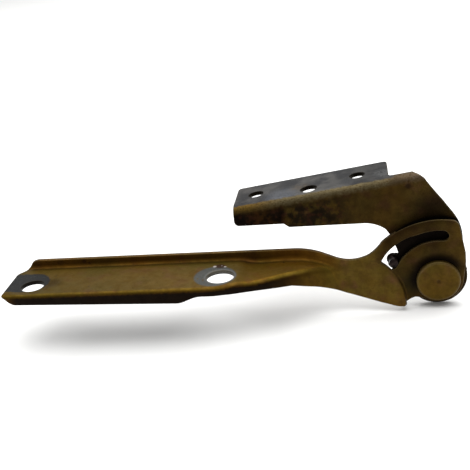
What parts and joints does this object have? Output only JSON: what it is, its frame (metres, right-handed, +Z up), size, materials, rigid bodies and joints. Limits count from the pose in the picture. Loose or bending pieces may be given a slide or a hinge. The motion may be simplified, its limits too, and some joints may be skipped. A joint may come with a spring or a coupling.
{
  "type": "strap hinge",
  "caption": "Pressed steel lid hinge: a long Z-section arm with bolt holes and a flanged bracket that swings on a rivet, with a stop pin in a curved slot.",
  "frame": {"origin": "centre of the arm's large bolt hole, on the seat face under the web", "axes": "+X along the arm towards the pivot, +Y along the pivot axis away from the rivet head, +Z up out of the web"},
  "size_m": [0.2571, 0.0665, 0.0783],
  "materials": {
    "arm_plating": "worn yellow zinc plating",
    "bracket_plating": "yellow zinc plating, bare grey steel on the flange",
    "rivet_plating": "yellow zinc plating",
    "washer_steel": "dull zinc",
    "bush_bronze": "oiled sintered bronze",
    "pin_steel": "dark oiled steel"
  },
  "bodies": {
    "arm": {"hinge_arm": "arm_plating", "pivot_rivet": "rivet_plating", "tail_washer": "washer_steel"},
    "bracket": {"hinge_bracket": "bracket_plating", "pivot_bush": "bush_bronze", "stop_pin": "pin_steel"}
  },
  "joints": [
    {"name": "bracket_swing", "type": "hinge", "parent": "arm", "child": "bracket", "pos_m": [0.1185, 0.02, -0.0149], "axis": [0, 1, 0], "range_deg": [0, 71]}
  ]
}
